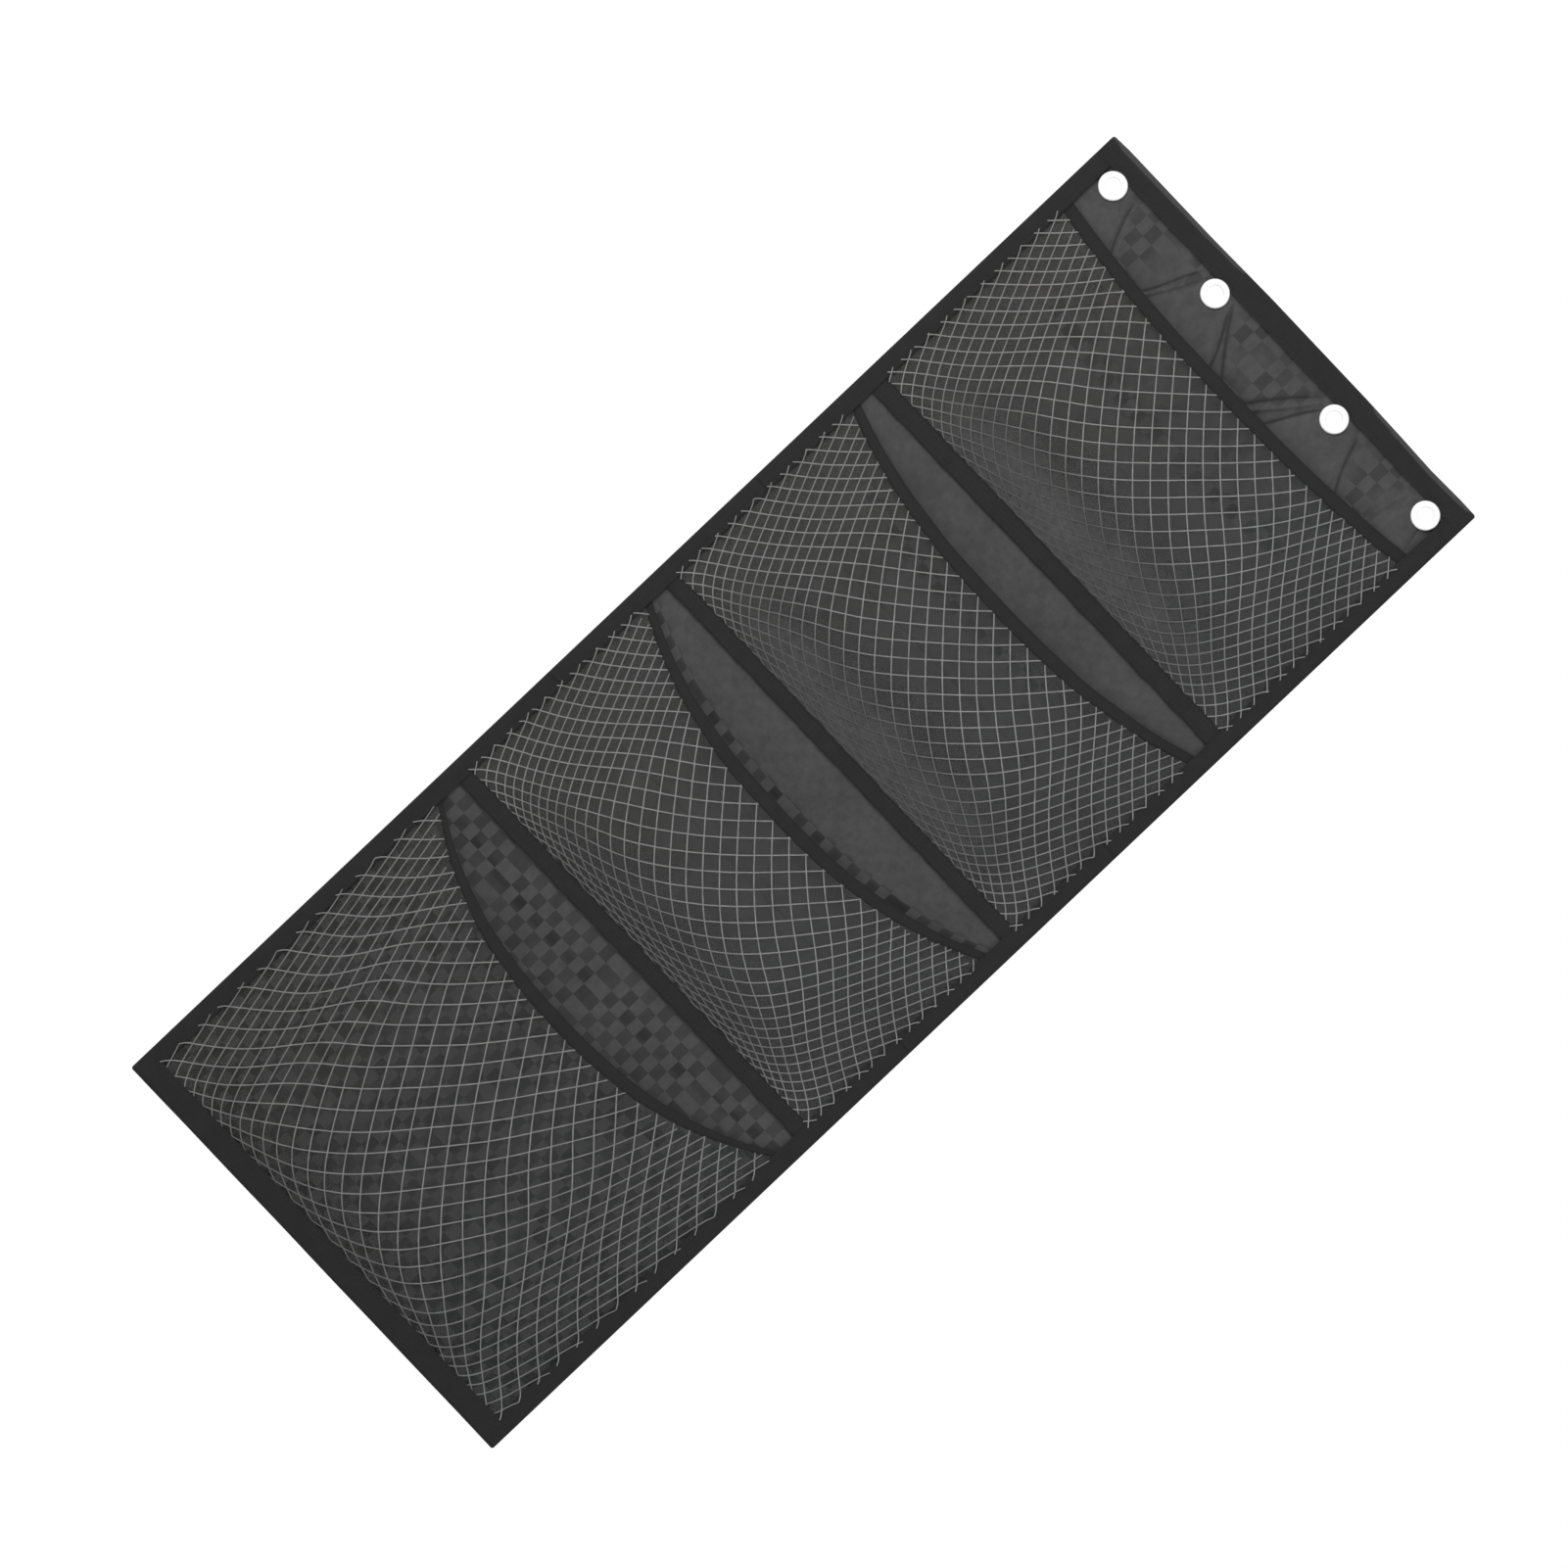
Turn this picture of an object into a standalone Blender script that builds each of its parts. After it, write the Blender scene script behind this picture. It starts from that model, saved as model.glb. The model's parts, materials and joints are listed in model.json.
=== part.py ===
"""Hanging organiser: a fabric back with four net pockets, bound at its edges, hung on eyelets.

Frame: X runs across the front, +Z is up, the front looks along -Y. The origin is the middle of
the eyelet row, on the plane of the back. Lengths below are in millimetres.
"""

import math

import bmesh
import bpy
from mathutils import Matrix, Vector

MM = 0.001

# Overall size, and how far each feature lies below the top edge
WIDTH = 305.0
LENGTH = 787.0
EYELET_DROP = 21.0
EYELETS_X = (-131.8, -45.7, 54.9, 131.9)
SEAMS = ((193.2, 204.8), (359.2, 369.2), (524.6, 535.0))  # upper and lower edge of each cross tape

# Bands sewn round the edges, and the tape along each pocket's mouth
SIDE_BAND = 11.5
TOP_BAND = 14.0
BOTTOM_BAND = 15.0
RIM_WIDTH = 8.5

# Each pocket's mouth: how far its ends lie below the top edge, then how far its middle sags and bows out
MOUTHS = ((44.4, 8.0, 7.0), (214.5, 19.0, 9.0), (381.0, 28.0, 11.0), (548.5, 36.0, 12.0))
LAST = len(MOUTHS) - 1  # number of the lowest pocket and section, counted from 0
SAG_POWER = 2.5

# Layers, counted forward from the back plane
BAND_THICK = 1.0
FABRIC_THICK = 1.0
NET_THICK = 0.8
RIM_THICK = 1.2
GAP = 0.3
FABRIC_BACK = BAND_THICK + GAP
FABRIC_FRONT = FABRIC_BACK + FABRIC_THICK
NET_BACK = FABRIC_FRONT + GAP
NET_FRONT = NET_BACK + NET_THICK
BAND_BACK = NET_FRONT + GAP
FRONT = BAND_BACK + BAND_THICK

# Shape of a pocket's net
NET_BULGE = 24.0
BULGE_AT = 0.5  # share of the pocket's height, from the mouth, where the net stands out fully
SIDE_EASE = 70.0  # distance from a side band over which the bulge rises
BASE_EASE = 60.0  # distance above the base seam over which the bulge rises
NET_TUCK = 1.0  # the net's upper edge lies this far below the rim's
COLUMNS = 20
BASE_ROWS = (60.0, 46.0, 34.0, 24.0, 15.0, 8.0, 3.5, 0.5)
MIDDLE_ROWS = 4

# Eyelets: radii, and the whole outline of their section as (radius, distance in front of the back plane)
EYELET_SIDES = 24
BARREL_RADIUS = 5.4
HOLE_RADIUS = 4.8
FLANGE_RADIUS = 8.8
WASHER_RADIUS = 8.5
WASHER_LAYER = (0.6, 1.0)
CUTTER_DEPTH = 20.0  # well past both faces of the fabric
EYELET_PROFILE = (
    (HOLE_RADIUS, 0.0),
    (6.8, 0.0),
    (6.8, 0.3),
    (BARREL_RADIUS, 0.3),
    (BARREL_RADIUS, NET_BACK),
    (8.4, NET_BACK),
    (FLANGE_RADIUS, 3.2),
    (8.5, 4.3),
    (7.3, 5.0),
    (5.9, 4.8),
    (HOLE_RADIUS, 4.0),
)

# The back folds behind itself at the first and third seam, and in front at the second
FOLD_CLEARANCE = 0.5
FOLDS_BACK = (True, False, True)

TOP = EYELET_DROP
BOTTOM = TOP - LENGTH
HALF_WIDTH = WIDTH / 2
INNER_HALF = HALF_WIDTH - SIDE_BAND
SHEET_HALF = HALF_WIDTH - BAND_THICK - GAP
FOLD_HEIGHTS = [TOP - lower for _, lower in SEAMS]


def clear_scene():
    """Removes whatever the file holds."""
    for obj in list(bpy.data.objects):
        bpy.data.objects.remove(obj, do_unlink=True)


def material(name, colour, roughness, metallic=0.0):
    """A Principled material with a plain colour."""
    made = bpy.data.materials.new(name)
    made.use_nodes = True
    shader = made.node_tree.nodes["Principled BSDF"]
    shader.inputs["Base Color"].default_value = (*colour, 1.0)
    shader.inputs["Roughness"].default_value = roughness
    shader.inputs["Metallic"].default_value = metallic
    return made


def body(name, parent, at):
    """An empty on a body's joint axis, which its pieces and child bodies hang from. at is in millimetres."""
    empty = bpy.data.objects.new(name, None)
    bpy.context.scene.collection.objects.link(empty)
    empty["at"] = at
    base = Vector(parent["at"]) if parent else Vector((0.0, 0.0, 0.0))
    empty.parent = parent
    empty.location = (Vector(at) - base) * MM
    return empty


def piece(name, bm, look, holder):
    """Turns a bmesh in millimetres, in the part's frame, into an object with its origin at its holder's."""
    bmesh.ops.recalc_face_normals(bm, faces=bm.faces)
    origin = Vector(holder["at"])
    bm.transform(Matrix.Scale(MM, 4) @ Matrix.Translation(-origin))
    mesh = bpy.data.meshes.new(name)
    bm.to_mesh(mesh)
    bm.free()
    obj = bpy.data.objects.new(name, mesh)
    bpy.context.scene.collection.objects.link(obj)
    obj.parent = holder
    mesh.materials.append(look)
    return obj


def block(low, high):
    """A bmesh box between two corners, where Y counts forward from the back plane."""
    bm = bmesh.new()
    bmesh.ops.create_cube(bm, size=1.0)
    low, high = Vector((low[0], -low[1], low[2])), Vector((high[0], -high[1], high[2]))
    size = [abs(a - b) for a, b in zip(low, high)]
    bmesh.ops.scale(bm, vec=size, verts=bm.verts)
    bmesh.ops.translate(bm, vec=(low + high) / 2, verts=bm.verts)
    return bm


def cylinder_across(radius, x, z, depth):
    """A bmesh cylinder along Y, for a round hole at (x, z)."""
    bm = bmesh.new()
    turn = Matrix.Translation((x, 0.0, z)) @ Matrix.Rotation(math.pi / 2, 4, "X")
    bmesh.ops.create_cone(
        bm, cap_ends=True, segments=EYELET_SIDES, radius1=radius, radius2=radius, depth=depth, matrix=turn
    )
    return bm


def cut(obj, bm, name, look, holder):
    """Takes a shape out of an object with a hidden cutter."""
    cutter = piece(name, bm, look, holder)
    cutter.hide_render = True
    cutter.display_type = "WIRE"
    modifier = obj.modifiers.new(name, "BOOLEAN")
    modifier.operation = "DIFFERENCE"
    modifier.solver = "EXACT"
    modifier.object = cutter


def cut_round(obj, radius, name, look, holder):
    """Takes a round hole out of an object at each eyelet."""
    for number, x in enumerate(EYELETS_X, 1):
        cut(obj, cylinder_across(radius, x, 0.0, CUTTER_DEPTH), f"{name}_cutter_{number}", look, holder)


def span(index):
    """The upper and lower end of one folding section's fabric and side bands."""
    upper = TOP - TOP_BAND - GAP if index == 0 else FOLD_HEIGHTS[index - 1] - GAP / 2
    lower = BOTTOM + BOTTOM_BAND + GAP if index == LAST else FOLD_HEIGHTS[index] + GAP / 2
    return upper, lower


def back_panel(index, look, holder):
    """One section of the fabric back. The first and last reach into the end bands."""
    upper, lower = span(index)
    if index == 0:
        upper = TOP - BAND_THICK - GAP
    if index == LAST:
        lower = BOTTOM + BAND_THICK + GAP
    bm = block((-SHEET_HALF, FABRIC_BACK, lower), (SHEET_HALF, FABRIC_FRONT, upper))
    panel = piece(f"back_panel_{index + 1}", bm, look, holder)
    if index == 0:
        cut_round(panel, BARREL_RADIUS + GAP, "eyelet_hole", look, holder)


def side_band(name, side, index, look, holder):
    """One section of the band folded round a side edge: a channel, open towards the fabric."""
    upper, lower = span(index)
    outer, web, inner = (side * x for x in (HALF_WIDTH, HALF_WIDTH - BAND_THICK, INNER_HALF))
    outline = (
        (outer, 0.0),
        (inner, 0.0),
        (inner, BAND_THICK),
        (web, BAND_THICK),
        (web, BAND_BACK),
        (inner, BAND_BACK),
        (inner, FRONT),
        (outer, FRONT),
    )
    bm = bmesh.new()
    face = bm.faces.new([bm.verts.new((x, -y, lower)) for x, y in outline])
    grown = bmesh.ops.extrude_face_region(bm, geom=[face])["geom"]
    lifted = [v for v in grown if isinstance(v, bmesh.types.BMVert)]
    bmesh.ops.translate(bm, vec=(0.0, 0.0, upper - lower), verts=lifted)
    piece(f"{name}_{index + 1}", bm, look, holder)


def end_band(name, outer, inner, look, holder):
    """The band folded round the top or bottom edge: a long pocket, open towards the fabric."""
    low, high = sorted((outer, inner))
    band = piece(name, block((-HALF_WIDTH, 0.0, low), (HALF_WIDTH, FRONT, high)), look, holder)
    into = math.copysign(BAND_THICK, inner - outer)
    slot_low, slot_high = sorted((outer + into, inner + into))
    web_half = HALF_WIDTH - BAND_THICK
    slot = block((-web_half, BAND_THICK, slot_low), (web_half, BAND_BACK, slot_high))
    cut(band, slot, f"{name}_slot_cutter", look, holder)
    return band


def seam_tape(index, look, holder):
    """The cross tape over a pocket's base, between the side bands."""
    upper, lower = (TOP - drop for drop in SEAMS[index])
    half = INNER_HALF - GAP
    bm = block((-half, BAND_BACK, lower + GAP / 2), (half, FRONT, upper))
    piece(f"seam_tape_{index + 1}", bm, look, holder)


def smooth(share):
    """Rises from 0 to 1 with level ends."""
    share = min(1.0, max(0.0, share))
    return share * share * (3.0 - 2.0 * share)


def mouth_curve(x):
    """The share of a mouth's sag and bow at x, from 1 in the middle to 0 at the side bands."""
    return max(0.0, 1.0 - abs(x / INNER_HALF) ** SAG_POWER)


def rim_height(index, x):
    """Height of the rim's upper edge at x."""
    end, sag, _ = MOUTHS[index]
    return TOP - end - sag * mouth_curve(x)


def base_height(index):
    """Height at which a pocket's net comes out of its base seam."""
    return BOTTOM + BOTTOM_BAND if index == LAST else TOP - SEAMS[index][0]


def rounded_rise(distance, ease):
    """Rises from 0 to 1 over a distance, steeply at first and then level, like half of a parabola."""
    return 1.0 - max(0.0, 1.0 - distance / ease) ** 2


def net_bulge(index, x, z):
    """How far the net stands out at (x, z)."""
    above_base = z - base_height(index)
    if abs(x) >= INNER_HALF or above_base <= 0.0:
        return 0.0
    rim = rim_height(index, x)
    share = (rim - z) / (rim - base_height(index))
    bow = MOUTHS[index][2] * mouth_curve(x)
    full = NET_BULGE * rounded_rise(INNER_HALF - abs(x), SIDE_EASE)
    return (bow + (max(full, bow) - bow) * smooth(share / BULGE_AT)) * rounded_rise(above_base, BASE_EASE)


def solid_sheet(grid, thickness):
    """A closed bmesh from a grid of (x, distance forward, z), thickened backwards."""
    bm = bmesh.new()
    layers = [
        [[bm.verts.new((x, -(y - back), z)) for x, y, z in row] for row in grid]
        for back in (0.0, thickness)
    ]
    rows, columns = len(grid), len(grid[0])
    for layer in layers:
        for r in range(rows - 1):
            for c in range(columns - 1):
                bm.faces.new((layer[r][c], layer[r][c + 1], layer[r + 1][c + 1], layer[r + 1][c]))
    border = [(0, c) for c in range(columns)]
    border += [(r, columns - 1) for r in range(1, rows)]
    border += [(rows - 1, c) for c in range(columns - 2, -1, -1)]
    border += [(r, 0) for r in range(rows - 2, 0, -1)]
    front, back = layers
    for (r0, c0), (r1, c1) in zip(border, border[1:] + border[:1]):
        bm.faces.new((front[r0][c0], front[r1][c1], back[r1][c1], back[r0][c0]))
    return bm


def stations():
    """Places across a pocket where its net and rim turn."""
    return [INNER_HALF * (2.0 * c / COLUMNS - 1.0) for c in range(COLUMNS + 1)]


def net_rows(index, x):
    """Heights of the net's rows at x, from its upper edge to its lower one under the seam."""
    base = base_height(index)
    first = rim_height(index, x) - NET_TUCK
    second = rim_height(index, x) - RIM_WIDTH
    third = base + BASE_ROWS[0]
    middle = [second + (third - second) * r / MIDDLE_ROWS for r in range(MIDDLE_ROWS)]
    under = BOTTOM + BAND_THICK + GAP if index == LAST else FOLD_HEIGHTS[index] + NET_TUCK
    return [first, *middle, *(base + rise for rise in BASE_ROWS), base, under]


def pocket_net(index, look, holder):
    """The pocket's net, bulging forward, its side edges under the bands and its base under the seam."""
    across = [-SHEET_HALF, *stations(), SHEET_HALF]
    columns = [[(x, NET_FRONT + net_bulge(index, x, z), z) for z in net_rows(index, x)] for x in across]
    bm = solid_sheet(list(zip(*columns)), NET_THICK)
    net = piece(f"pocket_net_{index + 1}", bm, look, holder)
    net.data.shade_smooth()


def pocket_rim(index, look, holder):
    """The tape along a pocket's mouth, in front of the net's upper edge."""
    grid = [[], []]
    ends = INNER_HALF - GAP
    for x in (max(-ends, min(ends, x)) for x in stations()):
        for row, drop in zip(grid, (0.0, RIM_WIDTH)):
            z = rim_height(index, x) - drop
            under_rim = min(z, rim_height(index, x) - NET_TUCK)
            forward = NET_FRONT + GAP + RIM_THICK + net_bulge(index, x, under_rim)
            row.append((x, forward, z))
    piece(f"pocket_rim_{index + 1}", solid_sheet(grid, RIM_THICK), look, holder)


def turned(profile, x):
    """A closed (radius, forward) profile turned about an eyelet's axis."""
    bm = bmesh.new()
    verts = [bm.verts.new((x + radius, -forward, 0.0)) for radius, forward in profile]
    edges = [bm.edges.new(pair) for pair in zip(verts, verts[1:] + verts[:1])]
    bmesh.ops.spin(
        bm,
        geom=verts + edges,
        cent=(x, 0.0, 0.0),
        axis=(0.0, 1.0, 0.0),
        angle=2.0 * math.pi,
        steps=EYELET_SIDES,
        use_merge=True,
    )
    return bm


def eyelet(number, x, look, holder):
    """One eyelet: a domed flange with its barrel curled over behind, and the washer that the curl holds."""
    near, far = WASHER_LAYER
    inner = BARREL_RADIUS + GAP
    ring = ((inner, near), (WASHER_RADIUS, near), (WASHER_RADIUS, far), (inner, far))
    front = piece(f"eyelet_{number}", turned(EYELET_PROFILE, x), look, holder)
    washer = piece(f"eyelet_washer_{number}", turned(ring, x), look, holder)
    for obj in (front, washer):
        obj.data.shade_smooth()
        obj.data.set_sharp_from_angle(angle=math.radians(40.0))


def make_bodies():
    """The folding sections, each hung from the one above at its fold, and a swinging mouth on each."""
    sections, mouths = [], []
    for index in range(4):
        at = (0.0, 0.0, 0.0)
        if index:
            forward = -FOLD_CLEARANCE if FOLDS_BACK[index - 1] else FRONT + FOLD_CLEARANCE
            at = (0.0, -forward, FOLD_HEIGHTS[index - 1])
        sections.append(body(f"section_{index + 1}", sections[-1] if sections else None, at))
        mouth_at = (0.0, -BAND_BACK, TOP - MOUTHS[index][0])
        mouths.append(body(f"mouth_{index + 1}", sections[-1], mouth_at))
    return sections, mouths


def main():
    clear_scene()
    fabric = material("back_fabric", (0.060, 0.060, 0.060), 0.90)
    binding = material("binding", (0.025, 0.025, 0.025), 0.85)
    tape = material("seam_tape", (0.027, 0.027, 0.027), 0.85)
    net = material("pocket_net", (0.12, 0.12, 0.118), 0.80)
    rim = material("rim_tape", (0.026, 0.026, 0.026), 0.85)
    metal = material("eyelet_metal", (0.88, 0.88, 0.88), 0.30, 0.6)
    sections, mouths = make_bodies()
    for index, section in enumerate(sections):
        back_panel(index, fabric, section)
        side_band("left_binding", -1.0, index, binding, section)
        side_band("right_binding", 1.0, index, binding, section)
        pocket_net(index, net, section)
        pocket_rim(index, rim, mouths[index])
        if index < 3:
            seam_tape(index, tape, section)
    top = end_band("top_binding", TOP, TOP - TOP_BAND, binding, sections[0])
    cut_round(top, FLANGE_RADIUS + GAP, "flange_notch", binding, sections[0])
    end_band("bottom_binding", BOTTOM, BOTTOM + BOTTOM_BAND, binding, sections[3])
    for number, x in enumerate(EYELETS_X, 1):
        eyelet(number, x, metal, sections[0])


main()
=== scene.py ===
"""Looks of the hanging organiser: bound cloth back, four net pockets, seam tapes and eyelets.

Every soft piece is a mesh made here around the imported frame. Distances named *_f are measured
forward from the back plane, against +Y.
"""

import json
import math

import bpy
import numpy as np
from mathutils import Matrix, Vector, noise


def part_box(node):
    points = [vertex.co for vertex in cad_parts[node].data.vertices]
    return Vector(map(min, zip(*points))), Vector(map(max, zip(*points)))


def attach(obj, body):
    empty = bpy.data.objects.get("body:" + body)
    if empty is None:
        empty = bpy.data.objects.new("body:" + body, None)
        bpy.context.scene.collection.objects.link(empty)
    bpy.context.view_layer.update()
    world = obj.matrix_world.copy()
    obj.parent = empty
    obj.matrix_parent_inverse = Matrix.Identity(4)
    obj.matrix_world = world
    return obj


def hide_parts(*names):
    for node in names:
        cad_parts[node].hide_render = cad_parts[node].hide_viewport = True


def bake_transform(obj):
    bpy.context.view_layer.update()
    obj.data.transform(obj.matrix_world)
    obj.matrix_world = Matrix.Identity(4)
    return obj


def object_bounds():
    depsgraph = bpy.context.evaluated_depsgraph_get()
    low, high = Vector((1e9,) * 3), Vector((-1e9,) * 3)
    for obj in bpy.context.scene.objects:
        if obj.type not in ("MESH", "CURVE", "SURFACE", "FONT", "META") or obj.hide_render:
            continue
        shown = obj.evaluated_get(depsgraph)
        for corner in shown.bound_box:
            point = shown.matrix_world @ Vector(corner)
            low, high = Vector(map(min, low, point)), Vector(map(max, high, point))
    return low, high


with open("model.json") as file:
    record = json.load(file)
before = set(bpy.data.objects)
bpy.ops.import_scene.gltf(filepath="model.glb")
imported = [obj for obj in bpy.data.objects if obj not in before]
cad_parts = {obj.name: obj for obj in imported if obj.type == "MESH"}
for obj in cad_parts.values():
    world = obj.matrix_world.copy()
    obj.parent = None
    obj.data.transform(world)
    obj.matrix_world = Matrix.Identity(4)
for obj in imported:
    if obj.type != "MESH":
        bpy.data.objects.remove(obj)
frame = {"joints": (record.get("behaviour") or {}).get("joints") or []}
CAD_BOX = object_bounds()
MM = 0.001

# Places taken from the frame
JOINTS = {joint["name"]: joint for joint in frame["joints"]}
FOLD_NAMES = ("upper_fold", "middle_fold", "lower_fold")
FOLDS = [JOINTS[name]["pos_m"][2] for name in FOLD_NAMES]
TOP, BOTTOM, HALF = CAD_BOX[1].z, CAD_BOX[0].z, CAD_BOX[1].x
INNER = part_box("right_binding_1")[0].x
TOP_BAND_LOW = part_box("top_binding")[0].z
BOTTOM_BAND_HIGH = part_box("bottom_binding")[1].z
CLOTH_BACK_F, CLOTH_FRONT_F = -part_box("back_panel_1")[1].y, -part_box("back_panel_1")[0].y
CLOTH_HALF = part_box("back_panel_1")[1].x
BAND_DEPTH = -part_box("top_binding")[0].y
TAPES = [(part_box(f"seam_tape_{k}")[0].z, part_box(f"seam_tape_{k}")[1].z) for k in (1, 2, 3)]
EYELETS_X = [sum(corner.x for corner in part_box(f"eyelet_{k}")) / 2 for k in (1, 2, 3, 4)]
FLANGE = (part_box("eyelet_1")[1].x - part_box("eyelet_1")[0].x) / 2
BARREL_ROOM = 6.3 * MM  # radius of the cloth's hole, between the eyelet's barrel and its washer's rim

# Layers and edges of the pockets, as they are in the solids
GAP = 0.3 * MM
NET_FRONT_F = CLOTH_FRONT_F + GAP + 0.8 * MM
RIM_WIDTH = 8.5 * MM
RIM_THICK = 1.2 * MM
SAG_POWER = 2.5
SIDE_EASE = 70 * MM  # the nets are full from this far inside the side bands,
BASE_EASE = 60 * MM  # this far above their base seams,
BULGE_AT = 0.5  # and this share of their height below their mouths

# Fabric details
TAPE_THICK = 0.9 * MM
NET_THICK = 0.45 * MM
THREAD_RADIUS = 0.36 * MM
THREAD_STEP = 14.4 * MM  # corner to corner of the net's diamonds
THREAD_TAIL = 2.4 * MM  # how far the threads' ends lie on the side bands
RIM_NARROWING = (0.10, 0.32, 0.42, 0.60)  # how much of each rim's width is lost to view at its ends
STITCH_PITCH = 3.1 * MM
STITCH_LENGTH = 2.3 * MM
STITCH_RADIUS = 0.22 * MM
STITCH_SINK = 0.16 * MM  # how deep the stitches' middles lie in a band
BAND_STITCH = 2.2 * MM  # from a band's inner edge to its stitches
TAPE_STITCH = 1.8 * MM  # from a seam tape's edges to its stitches
EYELET_LIFT = 1.3 * MM  # the cloth is drawn forward into the eyelets
CHECK_COLUMN = 7.05 * MM
CHECK_ROW = 8.8 * MM
CHECK_LEVEL = -537.1 * MM  # height of one row's middle
WIDE_COLUMN = 10.0
AROUND = np.linspace(0.0, 2.0 * math.pi, 7)  # angles round a thread
FRONT, REAR = np.array((0.0, -1.0, 0.0)), np.array((0.0, 1.0, 0.0))

# Tones, as linear grey levels
BINDING_TONE, SEAM_TONE, RIM_TONE = 0.0132, 0.0130, 0.0120
PAINTED_SHEEN_TONE = 0.046  # painted sheen on the top band's back layer, where it shows above the front
# the fourth tone is painted shade, for the hollows of the header's creases
# the second tone is the check's dark squares, also where rows of them are darkened as painted shadow
# the third tone is painted light, for the paler patches below the eyelets
CLOTH_TONE, CHECK_TONE, PAINTED_LIGHT_TONE, CREASE_SHADE_TONE = 0.050, 0.006, 0.056, 0.010
STITCH_TONES = 0.016, 0.030
NET_TONE, HOLE_TONE, GATHERED_TONE = 0.060, 0.030, 0.077
# the threads' tones, and the dim tone they take near the base seam as painted shade and on steep runs
CORD_TONES, DIM_THREAD_TONE = (0.17, 0.25), 0.062
FLOOR_TONES = 0.80, 0.86

# Camera, lights and surroundings
SKY_LIGHT = 0.55  # how strongly the white surround lights the cloth
FLOOR_DROP = 60 * MM
FLOOR_SIZE = 8.0
LIGHTS = (("key", (-0.9, -1.5, 1.0), 0.9, 28.0), ("fill", (1.5, -1.5, -0.4), 1.4, 18.0))
CAMERA_TILT = 46.53  # degrees that the panel's top is turned to the right
CAMERA_SPAN = 1.1568  # width of the view, in heights of the panel
CAMERA_ASIDE, CAMERA_RISE, CAMERA_AWAY = -11.2 * MM, -5.0 * MM, 2.0  # from the panel's middle


def smooth(share):
    """Rises from 0 to 1 with level ends, for a number or an array."""
    share = np.clip(share, 0.0, 1.0)
    return share * share * (3.0 - 2.0 * share)


def rounded_rise(distance, ease):
    """Rises from 0 to 1 over a distance, steeply at first and then level."""
    return 1.0 - np.maximum(0.0, 1.0 - distance / ease) ** 2


def between(x, places, values):
    """Straight lines between values at places, both in mm."""
    return np.interp(x, np.array(places) * MM, np.array(values) * MM)


def waves(x, z, size, seed):
    """Smooth noise from about -1 to 1 with features of the given size, for arrays."""
    flat = zip(np.ravel(x) / size, np.ravel(z) / size)
    values = [noise.noise(Vector((a, b, seed))) for a, b in flat]
    return np.array(values).reshape(np.shape(x)) * 1.6


def curve(x):
    """Share of a mouth's sag and bow at x: 1 in the middle, 0 at the side bands."""
    return np.maximum(0.0, 1.0 - np.abs(x / INNER) ** SAG_POWER)


class Pocket:
    """One pocket's mouth and net, worked out from its solids and its joint."""

    def __init__(self, number):
        rim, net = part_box(f"pocket_rim_{number}"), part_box(f"pocket_net_{number}")
        self.number = number
        self.section, self.mouth = f"section_{number}", f"mouth_{number}"
        self.end = JOINTS[f"mouth_{number}_pull"]["pos_m"][2]
        self.sag = self.end - RIM_WIDTH - rim[0].z
        self.bow = -rim[0].y - (NET_FRONT_F + GAP + RIM_THICK)
        self.full = -net[0].y - NET_FRONT_F
        self.narrowing = RIM_NARROWING[number - 1]
        self.base = BOTTOM_BAND_HIGH if number == 4 else TAPES[number - 1][1]
        self.lowest = self.end - self.sag  # the mouth's height in the middle
        self.half_way = (self.lowest + self.base) / 2

    def rim_z(self, x):
        """Height of the rim's upper edge at x."""
        return self.end - self.sag * curve(x)

    def rim_width(self, x):
        """Height of the rim's tape at x: towards its ends it twists and looks narrower."""
        return RIM_WIDTH * (1.0 - self.narrowing * np.clip(np.abs(x / INNER), 0.0, 1.0) ** 2)

    def forward(self, x, z):
        """How far forward the net's front lies at (x, z)."""
        rim = self.rim_z(x)
        share = (rim - z) / (rim - self.base)
        bow = self.bow * curve(x)
        full = self.full * rounded_rise(np.maximum(0.0, INNER - np.abs(x)), SIDE_EASE)
        bulge = bow + (np.maximum(full, bow) - bow) * smooth(share / BULGE_AT)
        return NET_FRONT_F + bulge * rounded_rise(np.maximum(0.0, z - self.base), BASE_EASE)

    def pull(self, x, z):
        """How much of the rim's swing a point takes: all of it on the rim, none at the seams."""
        ease = 10 * MM + 1.6 * (self.end - self.rim_z(x))
        below = self.rim_z(x) - self.rim_width(x) - z
        return smooth((INNER - np.abs(x)) / (16 * MM)) * (1.0 - smooth(below / ease))


# -------- meshes


def placed(name, data):
    """A new object in the scene."""
    obj = bpy.data.objects.new(name, data)
    bpy.context.scene.collection.objects.link(obj)
    return obj


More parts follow.
